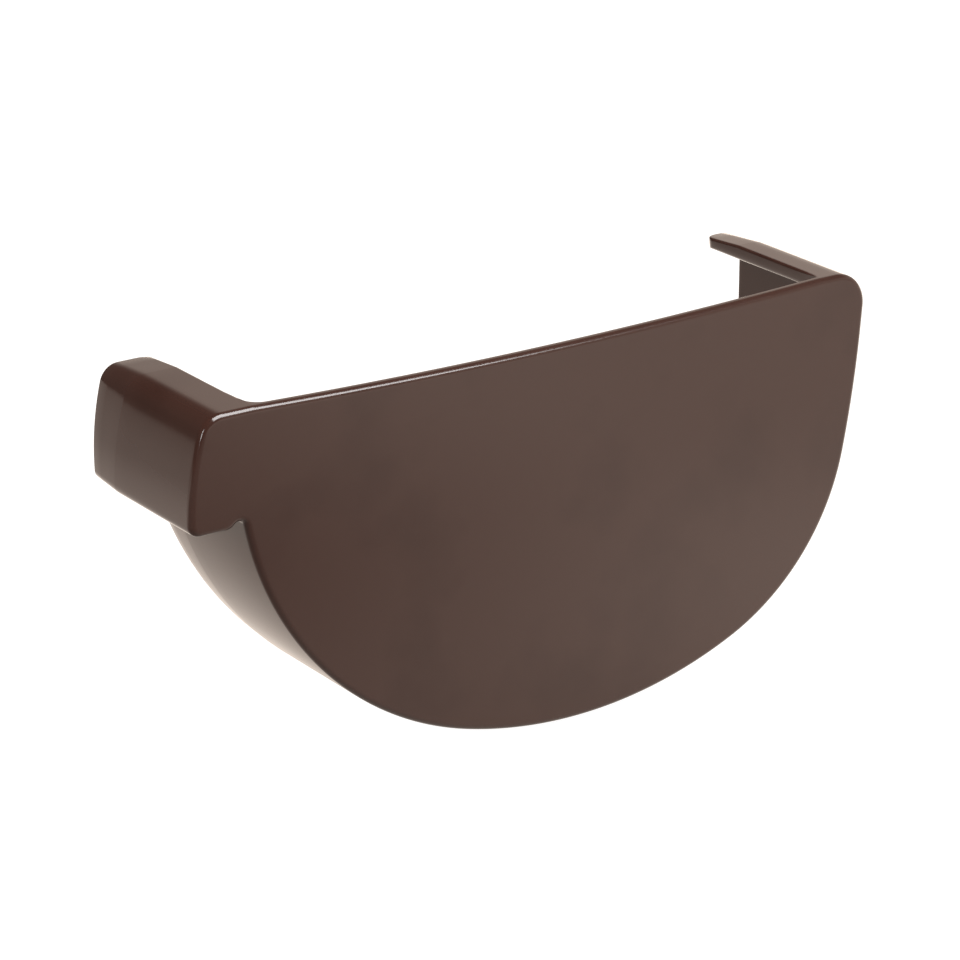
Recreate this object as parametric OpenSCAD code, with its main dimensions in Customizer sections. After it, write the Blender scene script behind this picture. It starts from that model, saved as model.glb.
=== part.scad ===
// Gutter end cap for a flattened half-round gutter with a box-shaped front bead.
// One moulded shell: an end plate, a skirt that wraps the outside of the gutter, a pocket
// for the bead at the front and a short hooked flange over the gutter's back edge.
// Millimetres. X runs across the gutter (front bead at -X), Y back along the gutter, Z up.
// Origin: on the inner face of the end plate, at rim level, above the lowest point of the trough.

/* [Trough outline] */

// Height of the outside from its lowest point up to the rim
trough_h = 70.7; // [64:0.1:80]
// Radius of the flattened bottom
bottom_r = 84.3; // [75:0.1:95]
// Turn of the bottom arc from the lowest point toward the back
bottom_back_turn = 23.3; // [15:0.1:28]
// Turn of the bottom arc from the lowest point toward the front
bottom_front_turn = 15.5; // [10:0.1:20]
// Radius of the lower back of the trough
back_r = 43.6; // [38:0.1:46]
// Turn of the lower back arc
back_turn = 54; // [48:0.1:58]
// Radius of the nearly flat back wall
wall_r = 200; // [120:1:400]
// Turn of the back wall arc
wall_turn = 6.7; // [4:0.1:7]
// Radius of the rounded top corner at the back
corner_r = 6; // [4:0.1:8]
// Radius of the front side of the trough
front_r = 60; // [55:0.1:62]
// Turn of the front side up to the groove below the bead pocket
front_turn = 64.5; // [60:0.1:66]

/* [Plate and skirt] */

// Depth of the whole cap at the rim, from the outer face of the plate to the rear edge
cap_depth = 35.8; // [26:0.1:60]
// Lean of the rear edge, which is set further forward toward the bottom
rear_lean = 6.5; // [0:0.1:8]
// Thickness of the end plate
plate_t = 1.9; // [1.5:0.1:3]
// Thickness of the skirt in front of its taper
skirt_t = 1.9; // [1.6:0.1:2.1]
// Radius of the rounded front edge
rim_r = 1.05; // [0.4:0.05:1.2]
// Length of the tapered lead-in behind its kink, at the rim
taper_l = 10.3; // [8:0.1:14]
// Fall of the outside over the tapered lead-in, at the rim
taper_d = 0.7; // [0.3:0.05:1.3]
// Dip of the plate's long top edge at its middle
plate_dip = 1.3; // [0.5:0.05:2.5]
// Height of the band of plate that carries the dipped top edge
band_h = 6; // [4:0.1:10]

/* [Bead pocket] */

// Outside radius of the groove between the skirt and the pocket
groove_r = 1.1; // [0.8:0.05:1.6]
// Radius of the pocket's inner lower corner, behind the groove
lead_r = 2.6; // [2.5:0.05:3.2]
// Turn of the pocket's inner lower corner
lead_turn = 45; // [30:1:50]
// Flat width of the pocket floor
floor_w = 4.6; // [3:0.1:9]
// Radius of the pocket's outer lower corner
low_r = 2.2; // [2.15:0.05:4]
// Turn of the pocket's outer lower corner
low_turn = 91.5; // [90.5:0.5:96]
// Turn of the bowed front wall of the pocket
bow_turn = 17; // [8:0.5:22]
// Radius of the pocket's top corner
top_r = 4.6; // [3:0.1:7]
// Flat width of the flange on top of the pocket
pocket_flat_w = 6; // [4:0.1:9]
// Radius of the inside corner between that flange and the plate
web_r = 3; // [1:0.1:6]
// Radius of the flange's free rear corner
pocket_tip_r = 2.4; // [0.5:0.1:3]

/* [Back hook] */

// Flat width of the flange over the gutter's back edge, with its lip
hook_flat_w = 3.6; // [2.5:0.1:6]
// Height of the lip along the flange's inner edge
lip_h = 2.6; // [2.4:0.1:6]
// Thickness of the lip
lip_t = 1.6; // [1:0.1:2]
// Radius of the lip's free rear corner
hook_tip_r = 2.6; // [0.5:0.1:3.2]

/* [Hidden] */

$fa = 1.5;
$fs = 0.4;

part_color = [0.25, 0.17, 0.14];
// Overrun of the cutters past the faces that they cut
cut_over = 1;
// Offset between neighbouring lengths of wall, so that no face lies in its neighbour
seam = 0.02;
// Lap of each length of wall into its neighbour
lap = 0.1;
// Share of the skirt's thickness by which the plate's core reaches into the skirt
core_share = 0.5;
// Number of points for each arc on the hidden edge of the plate's core
core_steps = 6;

// Headings of the outline where its arcs meet, from the lowest point up each side
back_a1 = bottom_back_turn;
back_a2 = back_a1 + back_turn;
back_a3 = back_a2 + wall_turn;
front_a1 = bottom_front_turn;
front_a2 = front_a1 + front_turn;
bow_end = low_turn + bow_turn;

// The straight length of the back wall closes the height of the back side
wall_l = (trough_h - bottom_r * (1 - cos(back_a1)) - back_r * (cos(back_a1) - cos(back_a2))
    - wall_r * (cos(back_a2) - cos(back_a3)) - corner_r * (cos(back_a3) + 1)) / sin(back_a3);

// The radius of the pocket's front wall closes the height of the front side
pocket_h = trough_h - bottom_r * (1 - cos(front_a1)) - front_r * (cos(front_a1) - cos(front_a2))
    - groove_r * (cos(lead_turn) - cos(front_a2)) + lead_r * (1 - cos(lead_turn));
bow_r = (pocket_h - low_r * (1 - cos(low_turn)) - top_r * (cos(bow_end) + 1))
    / (cos(low_turn) - cos(bow_end));

// Each side of the outline from the lowest point: [radius, turn to the left], or [length, 0]
back_path = [[bottom_r, bottom_back_turn], [back_r, back_turn], [wall_r, wall_turn],
    [wall_l, 0], [corner_r, 180 - back_a3], [hook_flat_w, 0]];
front_path = [[bottom_r, bottom_front_turn], [front_r, front_turn],
    [groove_r, -front_a2 - lead_turn], [lead_r, lead_turn], [floor_w, 0], [low_r, low_turn],
    [bow_r, bow_turn], [top_r, 180 - bow_end], [pocket_flat_w, 0]];

// Position and heading at a share of one step, from its own start
function step_end(s, share = 1) = s[1] == 0
    ? [s[0] * share, 0, 0]
    : [s[0] * sin(abs(s[1]) * share), sign(s[1]) * s[0] * (1 - cos(s[1] * share)), s[1] * share];

// A pose [x, z, heading] moved on by a relative one
function moved(p, m) = [p[0] + m[0] * cos(p[2]) - m[1] * sin(p[2]),
    p[1] + m[0] * sin(p[2]) + m[1] * cos(p[2]), p[2] + m[2]];

// Pose at the start of step i of a path
function pose(path, i) = i == 0
    ? [0, -trough_h, 0]
    : moved(pose(path, i - 1), step_end(path[i - 1]));

// Point to the left of a pose, inside the outline
function inside(p, d) = [p[0] - d * sin(p[2]), p[1] + d * cos(p[2])];

// Points along a path, set in from the outline
function inset(path, d) = [for (i = [0 : len(path) - 1]) for (k = [1 : core_steps])
    inside(moved(pose(path, i), step_end(path[i], k / core_steps)), d)];

function reversed(v) = [for (i = [len(v) - 1 : -1 : 0]) v[i]];

rear_y = cap_depth - plate_t;
kink_y = rear_y - taper_l;
end_y = rear_y + cut_over;
end_d = taper_d * (taper_l + cut_over) / taper_l;
hook_x = pose(back_path, len(back_path))[0];
pocket_x = -pose(front_path, len(front_path))[0];
edge_w = hook_x - pocket_x;
dip_r = (edge_w * edge_w / 4 + plate_dip * plate_dip) / (2 * plate_dip);
dip_turn = 2 * asin(edge_w / 2 / dip_r);
core_d = skirt_t * core_share;

// Turns the plan, drawn across the gutter, upright with its height along +Y
module upright() {
    mirror([0, 1, 0]) rotate([90, 0, 0]) children();
}

// Section through a wall: x runs in from the outside, y back from the plate's inner face;
// it runs on past the rear edge, which is cut to its lean afterwards
module wall_section(t, d = 0) {
    difference() {
        polygon([[d, d - plate_t], [t + d, d - plate_t], [t + d, end_y - d],
            [end_d + d, end_y - d], [d, kink_y - d]]);
        difference() {
            translate([d - cut_over, d - plate_t - cut_over]) square(rim_r + cut_over);
            translate([rim_r + d, rim_r + d - plate_t]) circle(rim_r);
        }
    }
}

// One straight length of wall along +X, set in from the outline by d
module run(l, t, d = 0) {
    rotate([90, 0, 90]) linear_extrude(l) wall_section(t, d);
}

// One curved length of wall that starts along +X, set in from the outline by d
module bend(r, turn, d = 0) {
    over = asin(lap / r);
    if (turn > 0) {
        translate([0, r]) rotate_extrude(angle = turn + 2 * over, start = -90 - over)
            translate([r, 0]) mirror([1, 0]) wall_section(skirt_t, d);
    } else {
        translate([0, -r]) rotate_extrude(angle = 2 * over - turn, start = 90 + turn - over)
            translate([r, 0]) wall_section(skirt_t, d);
    }
}

// The wall along a whole side of the outline; every other length is set in by the seam
module wall(path, first) {
    for (i = [0 : len(path) - 1]) {
        p = pose(path, i);
        d = (i + first) % 2 * seam;
        translate([p[0], p[1]]) rotate(p[2])
            if (path[i][1] != 0) bend(path[i][0], path[i][1], d);
            else if (i == len(path) - 1) translate([-lap, 0]) run(path[i][0] + lap, skirt_t, d);
            else translate([-lap, 0]) run(path[i][0] + 2 * lap, skirt_t, d);
    }
}

// The flat plate; its edge lies hidden inside the skirt
module plate() {
    translate([0, 0, -plate_t]) linear_extrude(plate_t) polygon(concat(
        [inside(pose(back_path, 0), core_d)],
        inset(back_path, core_d),
        [[hook_x, -band_h / 2], [pocket_x, -band_h / 2]],
        reversed([for (p = inset(front_path, core_d)) [-p[0], p[1]]])));
}

// Band of the plate with the dipped, rounded top edge
module top_band() {
    over = asin(lap / dip_r);
    translate([(hook_x + pocket_x) / 2, dip_r - plate_dip])
        rotate_extrude(angle = dip_turn + 2 * over, start = -90 - dip_turn / 2 - over)
            translate([dip_r, 0]) intersection() {
                wall_section(band_h, seam);
                translate([0, -plate_t]) square([band_h, plate_t]);
            }
}

// Lip below the inner edge of the back flange
module lip() {
    translate([hook_x + lip_t, 0]) rotate(180) run(lip_t, lip_h);
}

// Rounded web in the corner between the pocket's flange and the plate
module web() {
    difference() {
        translate([pocket_x, 0, -skirt_t]) linear_extrude(skirt_t - seam) difference() {
            translate([-lap, -lap]) square(web_r + lap);
            translate([web_r, web_r]) circle(web_r);
        }
        upright() translate([0, 0, -cut_over]) linear_extrude(web_r + 2 * cut_over)
            translate([(hook_x + pocket_x) / 2, dip_r - plate_dip]) circle(dip_r + 2 * seam);
    }
}

// Cutter for an upright rounded corner of material that lies toward +X and -Y
module corner_cut(r) {
    translate([0, 0, -lip_h - cut_over]) linear_extrude(lip_h + 2 * cut_over) difference() {
        translate([-cut_over, -r]) square(r + cut_over);
        translate([r, -r]) circle(r);
    }
}

// Cutter for all that lies behind the leaning rear edge, wider than the cap on both sides
module rear_cut() {
    low_z = -trough_h - cut_over;
    wide = 3 * trough_h;
    translate([-wide / 2, 0]) rotate([90, 0, 90]) linear_extrude(wide) polygon([
        [rear_y + cut_over * tan(rear_lean), cut_over], [end_y + cut_over, cut_over],
        [end_y + cut_over, low_z], [rear_y + low_z * tan(rear_lean), low_z]]);
}

module end_cap() {
    color(part_color) difference() {
        union() {
            upright() {
                wall(back_path, 1);
                mirror([1, 0]) wall(front_path, 0);
                plate();
                top_band();
                lip();
            }
            web();
        }
        rear_cut();
        translate([hook_x, rear_y]) corner_cut(hook_tip_r);
        translate([pocket_x, rear_y]) mirror([1, 0]) corner_cut(pocket_tip_r);
    }
}

end_cap();
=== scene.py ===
"""Gutter end cap, dressed for rendering.

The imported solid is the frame. The moulded shell is remade here as one smooth closed skin on the
same outline and section, in glossy brown plastic, because the solid's facets show in its gloss.
Lengths are in metres. X runs across the gutter, Y back along it and Z up, as in the frame.
"""

import math

import bmesh
import bpy
import numpy as np
from bpy.props import FloatProperty, FloatVectorProperty, PointerProperty
from mathutils import Matrix, Vector


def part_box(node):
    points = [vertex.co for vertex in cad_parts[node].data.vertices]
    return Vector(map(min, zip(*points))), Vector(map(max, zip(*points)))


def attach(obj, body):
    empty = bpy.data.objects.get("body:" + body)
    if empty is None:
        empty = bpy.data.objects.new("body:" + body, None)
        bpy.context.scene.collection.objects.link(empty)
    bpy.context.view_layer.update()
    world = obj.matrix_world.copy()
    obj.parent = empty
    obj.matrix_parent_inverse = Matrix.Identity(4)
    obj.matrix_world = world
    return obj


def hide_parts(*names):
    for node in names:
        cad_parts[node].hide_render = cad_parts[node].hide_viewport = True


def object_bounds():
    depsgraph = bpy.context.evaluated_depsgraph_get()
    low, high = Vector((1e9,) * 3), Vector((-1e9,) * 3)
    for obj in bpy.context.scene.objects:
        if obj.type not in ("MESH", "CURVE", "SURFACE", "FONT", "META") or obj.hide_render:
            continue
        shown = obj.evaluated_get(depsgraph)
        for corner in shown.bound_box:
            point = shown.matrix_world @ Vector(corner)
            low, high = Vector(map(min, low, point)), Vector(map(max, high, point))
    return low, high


bl_info = {
    "name": "Gutter end cap",
    "version": (1, 0, 0),
    "blender": (4, 5, 0),
    "location": "3D View > Sidebar > End cap",
    "description": "Builds the smooth shell of a gutter end cap and its studio",
    "category": "Object",
}

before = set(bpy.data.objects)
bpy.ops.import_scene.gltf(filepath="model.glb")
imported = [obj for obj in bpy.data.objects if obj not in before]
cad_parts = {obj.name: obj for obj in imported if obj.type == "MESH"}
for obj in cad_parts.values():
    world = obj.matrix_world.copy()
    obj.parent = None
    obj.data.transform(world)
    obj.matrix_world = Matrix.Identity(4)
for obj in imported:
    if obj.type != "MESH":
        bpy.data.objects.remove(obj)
CAD_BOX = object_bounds()
CAP_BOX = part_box("end_cap")

MM = 0.001
TROUGH_H = CAP_BOX[1][2] - CAP_BOX[0][2]
REAR_Y = CAP_BOX[1][1]
PLATE_T = -CAP_BOX[0][1]

# How finely the outline and its roundings are stepped
STEP_L = 1.0 * MM
STEP_TURN = math.radians(5.0)
END_POINTS = 13
TOP_POINTS = 80
RIM_POINTS = 9
EDGE_POINTS = 5
TOO_CLOSE = 1e-6
WELD = 1e-7
SHARP = math.radians(32.0)

# Rows of the skin along Y, which hold its curves in place
FRONT_ROWS = (0.15 * MM, 0.5 * MM, 1.0 * MM)
BODY_ROWS = (8.0 * MM, 14.0 * MM, 20.0 * MM)
TAPER_ROWS = (0.33, 0.66)
INNER_ROWS = (0.75, 0.5, 0.25)
PLATE_ROW = 1.6 * MM
KINK_HALF = 0.1 * MM
SUPPORT = 0.2 * MM
LAND = 0.3 * MM
WEB_LAND = 0.5 * MM
REAR_LAND = 1.0 * MM
LAP = 0.02 * MM

# The foot of the hook's lip and the rounded free ends
LIP_STEP = 0.3 * MM
TIP_R = 0.5 * MM
TIP_BLEND = 5.0 * MM

# The clouds and waves of the plastic
CLOUD_DETAIL = 3.0
CLOUD_ROUGHNESS = 0.55
CLOUD_FROM, CLOUD_TO = 0.32, 0.5
WAVE_SCALE = 0.6
WAVE_STRENGTH = 0.5
PLASTIC_IOR = 1.5

# The studio: colours, the level of the plain light, and the ramps of what the gloss sees, each
# with its start, its end, and the level at either
WHITE = (1.0, 1.0, 1.0, 1.0)
WARM = (1.0, 0.86, 0.75, 1.0)
FLOOR_GREY = (0.3, 0.27, 0.245, 1.0)
FLOOR_ROUGHNESS = 0.9
PLAIN_LEVEL = 0.4
ROOM_SIDE = (0.2, 0.65, 0.12, 1.0)
ROOM_HEIGHT = (0.3, 0.75, 1.0, 0.25)
# The floor's painted glow: painted light where the floor would be lit, and painted shade at the
# front left, seen only in the cap's reflections
FLOOR_RIGHT = (-0.05, 0.1, 0.0, 1.0)
FLOOR_NEAR = (-0.12, -0.01, 0.0, 0.6)
FLOOR_NEAR_SIDE = (-0.1, -0.02, 0.0, 1.0)
FLOOR_REAR = (-0.02, 0.15, 0.0, 0.88)
FLOOR_FAR = (0.1, 0.3, 1.0, 0.5)
SENSOR_W = 36.0
CLIP_END = 100.0

# Each lamp's name, place, target, width and height, power in watts, and what it lights
LAMPS = (
    ("key_box", (0.3, -0.7, 0.85), (0.0, 0.0, -0.03), (0.5, 0.5), 11.5, "plain"),
    ("fill_box", (-0.8, 0.1, 0.3), (0.0, 0.0, -0.03), (0.5, 0.5), 2.2, "plain"),
    ("line_box", (0.08, -0.27, 0.46), (0.0, 0.0, -0.02), (0.4, 0.5), 8.2, "gloss"),
    ("side_strip", (-0.64, -0.38, 0.22), (-0.07, 0.0, -0.01), (0.1, 0.32), 1.5, "gloss"),
)


def length(name, default, description):
    """A size of the shell, given in millimetres and kept in metres."""
    return FloatProperty(name=name, default=default * MM, description=description,
                         subtype="DISTANCE", unit="LENGTH", min=0.0, precision=5)


def turn(name, default, description):
    """An angle of the outline, given in degrees and kept in radians."""
    return FloatProperty(name=name, default=math.radians(default), description=description,
                         subtype="ANGLE", unit="ROTATION")


def colour(name, default, description):
    """A colour in the scene's linear values."""
    return FloatVectorProperty(name=name, default=default, description=description,
                               subtype="COLOR", size=3, min=0.0, max=1.0)


def coordinate(name, default, description):
    """A place along one axis, in metres."""
    return FloatProperty(name=name, default=default, description=description, unit="LENGTH")


class OutlineSizes(bpy.types.PropertyGroup):
    """The outline of the cap, seen along the gutter."""

    bottom_r: length("Bottom radius", 84.3, "Radius of the flattened bottom")
    bottom_back_turn: turn("Bottom turn, back", 23.3, "Turn of the bottom arc toward the back")
    bottom_front_turn: turn("Bottom turn, front", 15.5, "Turn of the bottom arc toward the front")
    back_r: length("Back radius", 43.6, "Radius of the lower back of the trough")
    back_turn: turn("Back turn", 54.0, "Turn of the lower back arc")
    wall_r: length("Wall radius", 200.0, "Radius of the nearly flat back wall")
    wall_turn: turn("Wall turn", 6.7, "Turn of the back wall arc")
    corner_r: length("Corner radius", 6.0, "Radius of the rounded top corner at the back")
    hook_flat: length("Hook width", 3.6, "Flat width of the flange over the gutter's back edge")
    front_r: length("Front radius", 60.0, "Radius of the front side of the trough")
    front_turn: turn("Front turn", 64.5, "Turn of the front side up to the groove")
    groove_r: length("Groove radius", 1.1, "Radius of the groove below the bead pocket")
    lead_r: length("Inner corner radius", 2.6, "Radius of the pocket's inner lower corner")
    lead_turn: turn("Inner corner turn", 45.0, "Turn of the pocket's inner lower corner")
    floor_w: length("Floor width", 4.6, "Flat width of the pocket floor")
    low_r: length("Low corner radius", 2.2, "Radius of the pocket's outer lower corner")
    low_turn: turn("Low corner turn", 91.5, "Turn of the pocket's outer lower corner")
    bow_turn: turn("Bow turn", 17.0, "Turn of the bowed front wall of the pocket")
    top_r: length("Top corner radius", 4.6, "Radius of the pocket's top corner")
    pocket_flat: length("Pocket top width", 6.0, "Flat width of the flange on top of the pocket")


class ShellSizes(bpy.types.PropertyGroup):
    """The section of the shell and its small roundings."""

    skirt_t: length("Skirt thickness", 1.9, "Thickness of the skirt in front of its taper")
    rim_r: length("Rim radius", 1.05, "Radius of the rounded front edge")
    rear_lean: turn("Rear lean", 6.5, "Lean of the rear edge, further forward at the bottom")
    taper_l: length("Taper length", 10.3, "Length of the tapered lead-in, at the rim")
    taper_d: length("Taper fall", 0.7, "Fall of the outside over the tapered lead-in")
    dip: length("Dip of the top edge", 1.3, "Dip of the plate's long top edge at its middle")
    edge_r: length("Edge radius", 0.25, "Radius of the small moulded edges")
    root_r: length("Root radius", 0.25, "Radius between the skirt and the plate, inside")
    lip_h: length("Lip height", 2.6, "Height of the lip along the hook's inner edge")
    lip_t: length("Lip thickness", 1.6, "Thickness of the lip")
    hook_tip_r: length("Hook tip radius", 2.6, "Radius of the hook's free rear corner")
    pocket_tip_r: length("Pocket tip radius", 2.4, "Radius of the pocket flange's rear corner")
    web_r: length("Web radius", 3.0, "Radius between the pocket's flange and the plate")


class PlasticLook(bpy.types.PropertyGroup):
    """The brown plastic."""

    brown: colour("Brown", (0.060, 0.0250, 0.0180), "Colour of the plastic")
    cloud: colour("Cloud", (0.049, 0.0188, 0.0132), "Colour of the darker, redder clouds")
    gloss: FloatProperty(name="Roughness", default=0.12, min=0.0, max=1.0,
                         description="Roughness of the moulded surface")
    cloud_size: length("Cloud size", 26.0, "Size of the clouds on the plastic")
    haze_depth: length("Haze depth", 0.01, "Depth of the faint waves in the surface")


class StudioSizes(bpy.types.PropertyGroup):
    """The floor and the camera."""

    floor_gap: length("Floor gap", 1.0, "Gap between the cap and the floor under it")
    floor_size: length("Floor size", 6000.0, "Side of the floor")
    camera_x: coordinate("Camera X", -0.37106, "Place of the camera across the gutter")
    camera_y: coordinate("Camera Y", -0.54201, "Place of the camera along the gutter")
    camera_z: coordinate("Camera Z", 0.21436, "Height of the camera over the rim")
    azimuth: turn("Azimuth", -33.031, "Turn of the camera about the vertical")
    elevation: turn("Elevation", 20.146, "Tilt of the camera over the horizontal")
    roll: turn("Roll", -1.043, "Roll of the camera about its line of sight")
    lens: FloatProperty(name="Lens", default=151.89, subtype="DISTANCE_CAMERA",
                        description="Focal length of the camera on a 36 mm sensor")


def steps_of(size):
    """Each side of the outline from the lowest point, as (radius or length, turn) steps.

    An arc of radius r that turns from heading g to heading h climbs by r times cos g - cos h.
    The straight length in the back wall, and the radius of the pocket's bowed front wall, are
    what brings the climbs on each side to the height of the trough.
    """
    s = size
    a1 = s.bottom_back_turn
    a2 = a1 + s.back_turn
    a3 = a2 + s.wall_turn
    f1 = s.bottom_front_turn
    f2 = f1 + s.front_turn
    bow_end = s.low_turn + s.bow_turn
    cos, sin = math.cos, math.sin
    rise = (s.bottom_r * (1 - cos(a1)) + s.back_r * (cos(a1) - cos(a2))
            + s.wall_r * (cos(a2) - cos(a3)) + s.corner_r * (cos(a3) + 1))
    wall_l = (TROUGH_H - rise) / sin(a3)
    pocket_h = (TROUGH_H - s.bottom_r * (1 - cos(f1)) - s.front_r * (cos(f1) - cos(f2))
                - s.groove_r * (cos(s.lead_turn) - cos(f2)) + s.lead_r * (1 - cos(s.lead_turn)))
    bow_r = ((pocket_h - s.low_r * (1 - cos(s.low_turn)) - s.top_r * (cos(bow_end) + 1))
             / (cos(s.low_turn) - cos(bow_end)))
    back = [(s.bottom_r, s.bottom_back_turn), (s.back_r, s.back_turn), (s.wall_r, s.wall_turn),
            (wall_l, 0.0), (s.corner_r, math.pi - a3), (s.hook_flat, 0.0)]
    front = [(s.bottom_r, s.bottom_front_turn), (s.front_r, s.front_turn),
             (s.groove_r, -f2 - s.lead_turn), (s.lead_r, s.lead_turn), (s.floor_w, 0.0),
             (s.low_r, s.low_turn), (bow_r, s.bow_turn), (s.top_r, math.pi - bow_end),
             (s.pocket_flat, 0.0)]
    return back, front


def walked(steps, tip):
    """Points, inward normals and distance to the far end along one side of the outline.

    A step of radius r turning by a moves the heading evenly from h to h + a while the point
    runs on a circle; a straight step keeps its heading. Points are at most STEP_L or STEP_TURN
    apart, and closer together over the last stretch, of length tip, before the free end.
    """
    x, z, h = 0.0, -TROUGH_H, 0.0
    xs, zs, hs, ls = [], [], [], []
    run = 0.0
    for size, a in steps:
        stretch = size * abs(a) if a else size
        n = max(int(math.ceil(stretch / STEP_L)), int(math.ceil(abs(a) / STEP_TURN)), 2)
        t = np.linspace(0.0, 1.0, n + 1)
        if (size, a) == steps[-1]:
            near = 1.0 - tip / size * (1 - np.sin(np.linspace(0.0, np.pi / 2, END_POINTS)))
            t = np.unique(np.concatenate([t[t < near[0] - TOO_CLOSE], near]))
        if a:
            r = size * np.sign(a)
            heading = h + a * t
            xs.append(x + r * (np.sin(heading) - np.sin(h)))
            zs.append(z - r * (np.cos(heading) - np.cos(h)))
        else:
            heading = np.full_like(t, h)
            xs.append(x + size * t * np.cos(h))
            zs.append(z + size * t * np.sin(h))
        hs.append(heading)
        ls.append(run + stretch * t)
        x, z, h, run = xs[-1][-1], zs[-1][-1], heading[-1], run + stretch
    keep = [slice(0, None)] + [slice(1, None)] * (len(steps) - 1)
    x, z, h, l = (np.concatenate([v[k] for v, k in zip(w, keep)]) for w in (xs, zs, hs, ls))
    return np.stack([x, z], 1), np.stack([-np.sin(h), np.cos(h)], 1), run - l


def top_edge(start, end, dip, web):
    """Points along the plate's top edge, and normals straight down.

    The edge is an arc that sags by dip at its middle. Points are closer together over the last
    stretch, of length web, before its end.
    """
    half = abs(start - end) / 2
    r = (half * half + dip * dip) / (2 * dip)
    even = np.linspace(start, end, TOP_POINTS)
    near = end + web * (1 - np.cos(np.linspace(0.0, np.pi / 2, END_POINTS)))
    x = np.concatenate([even[even > near[-1] + TOO_CLOSE], near[::-1]])
    mid = (start + end) / 2
    angle = np.arcsin((x - mid) / r)
    z = r - dip - r * np.cos(angle)
    return np.stack([x, z], 1), np.stack([np.zeros_like(x), np.full_like(x, -1.0)], 1)


def quarter(n):
    """Sine and one minus cosine over a quarter turn, for roundings."""
    t = np.linspace(0.0, np.pi / 2, n)
    return np.sin(t), 1 - np.cos(t)


def rows(values, n):
    """For each value, a row of n numbers that are all that value."""
    return [np.full(n, v) for v in values]


def grid_faces(ids):
    """Quads between neighbouring columns and rows of a grid of vertex numbers."""
    a, b, c, d = ids[:-1, :-1], ids[1:, :-1], ids[1:, 1:], ids[:-1, 1:]
    return np.stack([a, b, c, d], -1).reshape(-1, 4)


class Skin:
    """Collects grids of points and flat outlines, and welds them into one mesh."""

    def __init__(self):
        self.points = []
        self.faces = []
        self.count = 0

    def add(self, grid):
        """Adds a grid of points with its quads and returns its vertex numbers."""
        ids = self.count + np.arange(grid.shape[0] * grid.shape[1]).reshape(grid.shape[:2])
        self.points.append(grid.reshape(-1, 3))
        self.count += ids.size
        self.faces += grid_faces(ids).tolist()
        return ids

    def cover(self, ids):
        """Adds one flat face on a loop of vertex numbers."""
        self.faces.append([int(i) for i in ids])

    def mesh(self, name):
        """The welded mesh, smooth but for its true edges, with its faces outward.

        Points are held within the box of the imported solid.
        """
        mesh = bpy.data.meshes.new(name)
        points = np.clip(np.concatenate(self.points), CAD_BOX[0], CAD_BOX[1])
        mesh.from_pydata(points.tolist(), [], self.faces)
        work = bmesh.new()
        work.from_mesh(mesh)
        bmesh.ops.remove_doubles(work, verts=work.verts, dist=WELD)
        bmesh.ops.dissolve_degenerate(work, edges=work.edges, dist=WELD)
        bmesh.ops.recalc_face_normals(work, faces=work.faces)
        work.to_mesh(mesh)
        work.free()
        mesh.shade_smooth()
        mesh.set_sharp_from_angle(angle=SHARP)
        return mesh


def lifted(path, normal, s, y):
    """Points set in from the outline by s and back along the gutter by y, for whole arrays."""
    place = path[:, None, :] + normal[:, None, :] * s[..., None]
    return np.stack([place[..., 0], np.broadcast_to(y, s.shape), place[..., 1]], -1)


def tip_depth(far, r):
    """How far a rounding of radius r steps back at a distance far from a free end.

    It is r less the height of a circle of radius r, from r at the end itself to nothing where
    the rounding starts.
    """
    d = np.clip(far, 0.0, r)
    return r - np.sqrt(np.maximum(r * r - (r - d) ** 2, 0.0))


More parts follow.
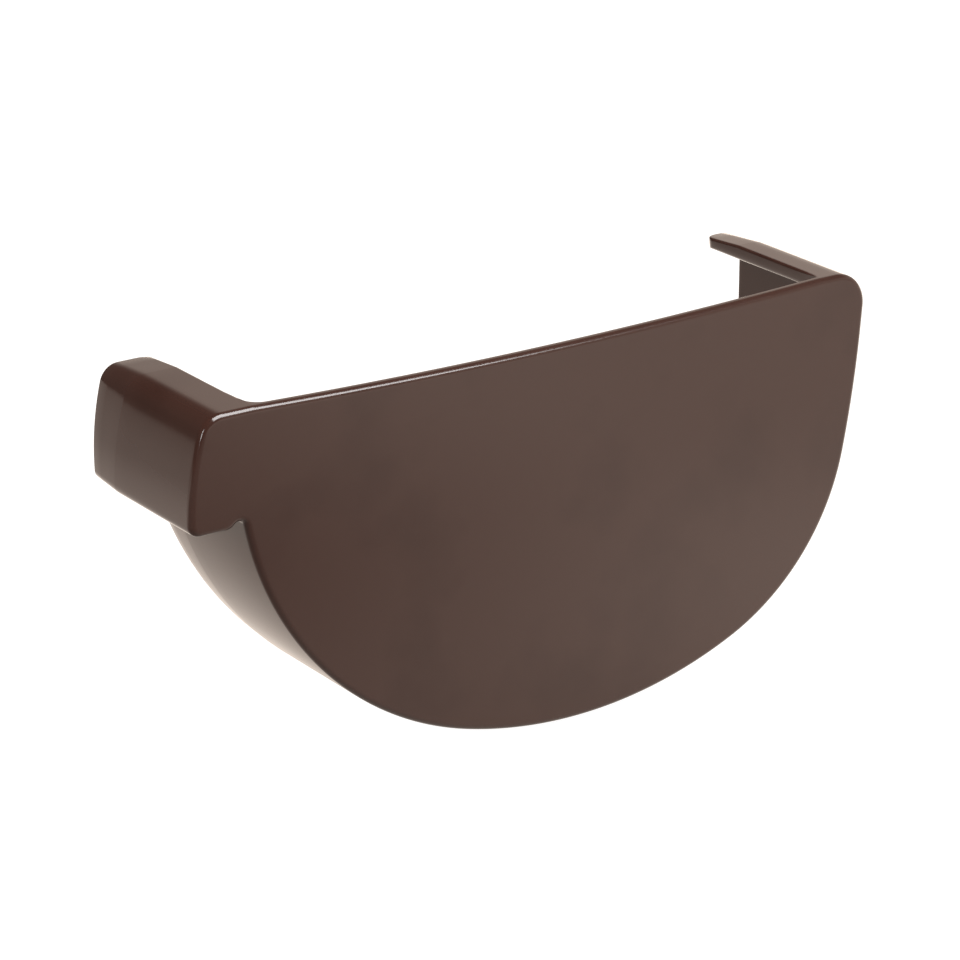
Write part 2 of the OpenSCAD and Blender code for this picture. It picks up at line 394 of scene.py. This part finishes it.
def shell_mesh(outline, size):
    """The shell as a section carried round the outline, with flat faces for plate and ends.

    The outline is one closed loop: up the back, over the hook, along the dipped top edge and
    round the bead pocket. Every column starts with the same rounded rim. Behind it, columns on
    the skirt run out to the rear edge, in over it and back along the inside to the plate, and
    columns on the top edge turn down the back of the plate at once. A point is set in from the
    outline by its s and back along the gutter by its y.
    """
    back, front = steps_of(outline)
    bp, bn, bfar = walked(back, size.hook_tip_r)
    fp, fn, ffar = walked(front, size.pocket_tip_r)
    fp[:, 0] *= -1
    fn[:, 0] *= -1
    path = np.concatenate([fp[::-1], bp[1:]])
    normal = np.concatenate([fn[::-1], bn[1:]])
    far_front = np.concatenate([ffar[::-1], np.full(len(bp) - 1, 1.0)])
    far_back = np.concatenate([np.full(len(fp) - 1, 1.0), bfar])
    tp, tn = top_edge(path[-1, 0], path[0, 0], size.dip, size.web_r)

    skin = Skin()
    up, over = quarter(RIM_POINTS)
    y0 = -PLATE_T
    r, e, t, web = size.rim_r, size.edge_r, size.skirt_t, size.web_r

    # The rounded rim, all round the outline, and the plate's flat face
    rim_s = np.concatenate([[r + SUPPORT], r * (1 - up), [0.0]])
    rim_y = np.concatenate([[y0], y0 + r * over, [-e - LAND]])
    loop_p = np.concatenate([path, tp[1:-1]])
    loop_n = np.concatenate([normal, tn[1:-1]])
    s = np.broadcast_to(rim_s, (len(loop_p), len(rim_s)))
    rim = lifted(loop_p, loop_n, s, rim_y)
    rim = np.concatenate([rim, rim[:1]])
    ids = skin.add(rim)
    skin.cover(ids[:-1, 0])

    # The rear edge and the taper: the edge leans, and steps forward at the rounded tips
    lean = math.tan(size.rear_lean)
    deepest = REAR_Y + lean * size.taper_d
    rear = deepest + lean * path[:, 1] - np.maximum(tip_depth(far_front, size.pocket_tip_r),
                                                    tip_depth(far_back, size.hook_tip_r))
    kink = deepest - size.taper_l
    slope = size.taper_d / size.taper_l
    depth = t + (size.lip_h - t) * (1 - np.clip((far_back - size.lip_t) / LIP_STEP, 0, 1))

    # The skirt, from the rim out to the rear edge and back inside to the plate
    n = len(path)
    up, over = quarter(EDGE_POINTS)
    start_y = np.array([-e - LAND, -e, *FRONT_ROWS, web - e])
    out_y = np.stack(rows(start_y, n) + rows((web, web + WEB_LAND, *BODY_ROWS), n)
                     + rows((kink - KINK_HALF, kink + KINK_HALF), n)
                     + [kink + (rear - e - kink) * k for k in TAPER_ROWS]
                     + [rear - e + e * k for k in up], 1)
    out_s = np.clip(out_y - kink, 0, None) * slope
    out_s[:, -EDGE_POINTS:] += e * over
    inside = ([rear - REAR_LAND] + [rear * k for k in INNER_ROWS]
              + rows((PLATE_ROW, size.root_r + LAND), n))
    in_y = np.stack([rear - e * k for k in over] + inside
                    + rows(size.root_r * (1 - up), n) + rows((0.0,), n), 1)
    in_s = np.stack([depth - e + e * k for k in up] + [depth] * len(inside)
                    + [depth + size.root_r * k for k in over]
                    + [depth + size.root_r + LAP], 1)
    # Rounded free ends: the outside falls and the inside rises over the last stretch
    for far, start in ((far_front, web), (far_back, 0.0)):
        fall = tip_depth(far, TIP_R)[:, None]
        out_s = out_s + fall * np.clip((out_y - start) / TIP_BLEND, 0, 1)
        in_s = in_s - fall * np.clip((in_y - start) / TIP_BLEND, 0, 1)
    # The rear face follows the lean through the thickness of the wall as well
    s, y = np.concatenate([out_s, in_s], 1), np.concatenate([out_y, in_y], 1)
    near = np.clip((y - kink) / (rear - kink)[:, None], 0, 1)
    wall_ids = skin.add(lifted(path, normal, s, y + lean * normal[:, 1:] * s * near))

    # The top edge of the plate, with the rounded web beside the pocket's flange
    run = np.clip(web - (tp[:, 0] - tp[-1, 0]), 0, web)
    web_y = web - np.sqrt(np.maximum(web ** 2 - run ** 2, 0.0))
    none = np.zeros_like(web_y)
    top_y = np.stack([np.minimum(v, web_y - e) for v in start_y]
                     + [web_y - e + e * k for k in up] + [web_y, none, none], 1)
    top_s = np.stack([none] * len(start_y) + rows(e * over, len(tp))
                     + rows((t, t, t + size.root_r + LAP), len(tp)), 1)
    top_s[[0, -1], -1] = in_s[[-1, 0], -1]
    top_ids = skin.add(lifted(tp, tn, top_s, top_y))

    # The flat faces: the plate's inside and the two free ends of the flanges
    first = len(start_y)
    skin.cover(np.concatenate([wall_ids[:, -1], top_ids[1:-1, -1]]))
    skin.cover(np.concatenate([wall_ids[-1, 1:], top_ids[0, first + 1:-1][::-1]]))
    skin.cover(np.concatenate([wall_ids[0, first - 1:], top_ids[-1, first + 1:-1][::-1]]))
    return skin.mesh("cap_shell")


def plastic(look):
    """Glossy brown moulded plastic with faint clouds and waves, on object coordinates.

    The colour runs from cloud to brown as a noise runs from CLOUD_FROM to CLOUD_TO, and a
    second, wider noise is the height of the waves.
    """
    mat = bpy.data.materials.new("brown_plastic")
    mat.use_nodes = True
    nodes, links = mat.node_tree.nodes, mat.node_tree.links
    shader = nodes["Principled BSDF"]
    place = nodes.new("ShaderNodeTexCoord")
    clouds = nodes.new("ShaderNodeTexNoise")
    clouds.inputs["Scale"].default_value = 1.0 / look.cloud_size
    clouds.inputs["Detail"].default_value = CLOUD_DETAIL
    clouds.inputs["Roughness"].default_value = CLOUD_ROUGHNESS
    share = nodes.new("ShaderNodeMapRange")
    share.inputs["From Min"].default_value = CLOUD_FROM
    share.inputs["From Max"].default_value = CLOUD_TO
    mix = nodes.new("ShaderNodeMix")
    mix.data_type = "RGBA"
    mix.inputs["A"].default_value = (*look.cloud, 1.0)
    mix.inputs["B"].default_value = (*look.brown, 1.0)
    waves = nodes.new("ShaderNodeTexNoise")
    waves.inputs["Scale"].default_value = WAVE_SCALE / look.cloud_size
    bump = nodes.new("ShaderNodeBump")
    bump.inputs["Strength"].default_value = WAVE_STRENGTH
    bump.inputs["Distance"].default_value = look.haze_depth
    links.new(place.outputs["Object"], clouds.inputs["Vector"])
    links.new(place.outputs["Object"], waves.inputs["Vector"])
    links.new(clouds.outputs["Fac"], share.inputs["Value"])
    links.new(share.outputs["Result"], mix.inputs["Factor"])
    links.new(mix.outputs["Result"], shader.inputs["Base Color"])
    links.new(waves.outputs["Fac"], bump.inputs["Height"])
    links.new(bump.outputs["Normal"], shader.inputs["Normal"])
    shader.inputs["Roughness"].default_value = look.gloss
    shader.inputs["IOR"].default_value = PLASTIC_IOR
    return mat


def placed(mesh, name):
    """A new object for a mesh, in the scene and at the origin."""
    obj = bpy.data.objects.new(name, mesh)
    bpy.context.scene.collection.objects.link(obj)
    return obj


class OBJECT_OT_cap_shell(bpy.types.Operator):
    """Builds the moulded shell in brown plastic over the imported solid."""

    bl_idname = "object.cap_shell"
    bl_label = "Cap shell"

    def execute(self, context):
        scene = context.scene
        obj = placed(shell_mesh(scene.cap_outline, scene.cap_shell), "cap_shell")
        obj.data.materials.append(plastic(scene.cap_plastic))
        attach(obj, "root")
        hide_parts("end_cap")
        return {"FINISHED"}


def sheet(name, corners):
    """A flat four-cornered sheet."""
    mesh = bpy.data.meshes.new(name)
    mesh.from_pydata(corners, [], [(0, 1, 2, 3)])
    return mesh


def studio_camera(studio):
    """The camera at the photo's place, built from its azimuth, elevation and roll.

    Its axes are the way back toward it, the level line across that, and their cross product,
    with the last two turned about the first by the roll.
    """
    az, el, roll = studio.azimuth, studio.elevation, studio.roll
    back = np.array([math.sin(az) * math.cos(el), -math.cos(az) * math.cos(el), math.sin(el)])
    right = np.array([math.cos(az), math.sin(az), 0.0])
    up = np.cross(back, right)
    rolled_right = math.cos(roll) * right + math.sin(roll) * up
    rolled_up = -math.sin(roll) * right + math.cos(roll) * up
    data = bpy.data.cameras.new("photo_view")
    data.sensor_width = SENSOR_W
    data.lens = studio.lens
    data.clip_end = CLIP_END
    camera = bpy.data.objects.new("photo_view", data)
    turned = Matrix([rolled_right, rolled_up, back]).transposed().to_4x4()
    turned.translation = (studio.camera_x, studio.camera_y, studio.camera_z)
    camera.matrix_world = turned
    bpy.context.scene.collection.objects.link(camera)
    bpy.context.scene.camera = camera


def area_light(name, place, target, size, power, lights):
    """A soft box at a place, turned toward a target, that lights the plain colour or the gloss."""
    data = bpy.data.lights.new(name, "AREA")
    data.shape = "RECTANGLE"
    data.size, data.size_y = size
    data.energy = power
    lamp = bpy.data.objects.new(name, data)
    lamp.location = place
    lamp.rotation_euler = (Vector(target) - lamp.location).to_track_quat("-Z", "Y").to_euler()
    lamp.visible_diffuse = lights == "plain"
    lamp.visible_glossy = lights == "gloss"
    bpy.context.scene.collection.objects.link(lamp)


class OBJECT_OT_cap_studio(bpy.types.Operator):
    """Lays out the pale floor with its painted glow, the soft light and the camera."""

    bl_idname = "object.cap_studio"
    bl_label = "Cap studio"

    def execute(self, context):
        studio = context.scene.cap_studio
        half = studio.floor_size / 2
        z = -TROUGH_H - studio.floor_gap
        floor = placed(sheet("floor", [(-half, -half, z), (half, -half, z),
                                       (half, half, z), (-half, half, z)]), "floor")
        # The floor is white to the camera and shows a painted glow, painted light and shade, in the
        # gloss
        floor.data.materials.append(white_floor_with_painted_glow())
        world = bpy.data.worlds.new("studio")
        context.scene.world = world
        world.use_nodes = True
        sky_white(world)
        for lamp in LAMPS:
            area_light(*lamp)
        studio_camera(studio)
        context.scene.view_settings.view_transform = "Standard"
        return {"FINISHED"}


def math_node(nodes, links, kind, a, b):
    """The result of one sum of two values, each a number or an output."""
    node = nodes.new("ShaderNodeMath")
    node.operation = kind
    for socket, value in zip(node.inputs, (a, b)):
        if isinstance(value, float):
            socket.default_value = value
        else:
            links.new(value, socket)
    return node.outputs["Value"]


def ramp(nodes, links, value, start, end, low, high):
    """A smooth ramp of a value, from low at its start to high at its end."""
    node = nodes.new("ShaderNodeMapRange")
    node.interpolation_type = "SMOOTHSTEP"
    for name, number in (("From Min", start), ("From Max", end), ("To Min", low), ("To Max", high)):
        node.inputs[name].default_value = number
    links.new(value, node.inputs["Value"])
    return node.outputs["Result"]


def seen_by(nodes, links, gloss, light):
    """The tint and level of a surface or sky, by the kind of ray that meets it.

    Camera rays and rays through glass meet white at a level of one, glossy rays a warm tint at
    the level gloss, and diffuse rays white at the level light.
    """
    way = nodes.new("ShaderNodeLightPath")
    plain = math_node(nodes, links, "MAXIMUM", way.outputs["Is Camera Ray"],
                      way.outputs["Is Transmission Ray"])
    warm = math_node(nodes, links, "MULTIPLY", way.outputs["Is Glossy Ray"], gloss)
    soft = math_node(nodes, links, "MULTIPLY", way.outputs["Is Diffuse Ray"], light)
    level = math_node(nodes, links, "ADD", math_node(nodes, links, "MAXIMUM", plain, warm), soft)
    tint = nodes.new("ShaderNodeMix")
    tint.data_type = "RGBA"
    tint.inputs["A"].default_value = WARM
    tint.inputs["B"].default_value = WHITE
    links.new(math_node(nodes, links, "MAXIMUM", plain, way.outputs["Is Diffuse Ray"]),
              tint.inputs["Factor"])
    return tint.outputs["Result"], level


def white_floor_with_painted_glow():
    """A pale floor that the camera sees as white and the gloss as a sheet with a painted warm glow.

    The painted glow stands in for lit and shaded floor in the cap's reflections. It is the sum of a
    ramp toward the right, a patch in front of the cap and a band behind it, and it is nothing at
    the front left, which is painted shade. The patch and the band are each the product of two ramps
    over the place.
    """
    mat = bpy.data.materials.new("white_floor_with_painted_glow")
    mat.use_nodes = True
    nodes, links = mat.node_tree.nodes, mat.node_tree.links
    shader = nodes["Principled BSDF"]
    shader.inputs["Base Color"].default_value = FLOOR_GREY
    shader.inputs["Roughness"].default_value = FLOOR_ROUGHNESS
    shader.inputs["Specular IOR Level"].default_value = 0.0
    place = nodes.new("ShaderNodeTexCoord")
    parts = nodes.new("ShaderNodeSeparateXYZ")
    links.new(place.outputs["Object"], parts.inputs["Vector"])
    side, back = parts.outputs["X"], parts.outputs["Y"]
    right = ramp(nodes, links, side, *FLOOR_RIGHT)
    near = math_node(nodes, links, "MULTIPLY", ramp(nodes, links, back, *FLOOR_NEAR),
                     ramp(nodes, links, side, *FLOOR_NEAR_SIDE))
    rear = math_node(nodes, links, "MULTIPLY", ramp(nodes, links, back, *FLOOR_REAR),
                     ramp(nodes, links, back, *FLOOR_FAR))
    # The painted glow: painted light and painted shade on the floor, which only the gloss sees
    painted_glow = math_node(nodes, links, "ADD", right, math_node(nodes, links, "ADD", near, rear))
    tint, level = seen_by(nodes, links, painted_glow, 0.0)
    links.new(tint, shader.inputs["Emission Color"])
    links.new(level, shader.inputs["Emission Strength"])
    return mat


def sky_white(world):
    """White for the camera, a plain grey as light, and for the gloss a room with a bright side.

    The room that the gloss sees is the product of two smooth ramps over the direction: dark at
    the left and bright at the right, and bright near the horizon and dark overhead.
    """
    nodes, links = world.node_tree.nodes, world.node_tree.links
    ground = nodes["Background"]
    place = nodes.new("ShaderNodeTexCoord")
    parts = nodes.new("ShaderNodeSeparateXYZ")
    links.new(place.outputs["Generated"], parts.inputs["Vector"])
    side = ramp(nodes, links, parts.outputs["X"], *ROOM_SIDE)
    height = ramp(nodes, links, parts.outputs["Z"], *ROOM_HEIGHT)
    room = math_node(nodes, links, "MULTIPLY", side, height)
    tint, level = seen_by(nodes, links, room, PLAIN_LEVEL)
    links.new(tint, ground.inputs["Color"])
    links.new(level, ground.inputs["Strength"])


class VIEW3D_PT_end_cap(bpy.types.Panel):
    """Lists the cap's operators and sizes."""

    bl_label = "Gutter end cap"
    bl_space_type = "VIEW_3D"
    bl_region_type = "UI"
    bl_category = "End cap"

    def draw(self, context):
        layout = self.layout
        layout.operator("object.cap_shell")
        layout.operator("object.cap_studio")
        for group in GROUPS:
            box = layout.box()
            settings = getattr(context.scene, group)
            for name in settings.__annotations__:
                box.prop(settings, name)


GROUPS = {"cap_outline": OutlineSizes, "cap_shell": ShellSizes,
          "cap_plastic": PlasticLook, "cap_studio": StudioSizes}
CLASSES = [*GROUPS.values(), OBJECT_OT_cap_shell, OBJECT_OT_cap_studio, VIEW3D_PT_end_cap]


def register():
    """Adds the classes and the settings to Blender."""
    for cls in CLASSES:
        bpy.utils.register_class(cls)
    for name, cls in GROUPS.items():
        setattr(bpy.types.Scene, name, PointerProperty(type=cls))


def unregister():
    """Takes the classes and the settings out again."""
    for name in GROUPS:
        delattr(bpy.types.Scene, name)
    for cls in reversed(CLASSES):
        bpy.utils.unregister_class(cls)


def main():
    """Builds the cap and its studio."""
    register()
    bpy.ops.object.cap_shell()
    bpy.ops.object.cap_studio()


if __name__ == "__main__":
    main()
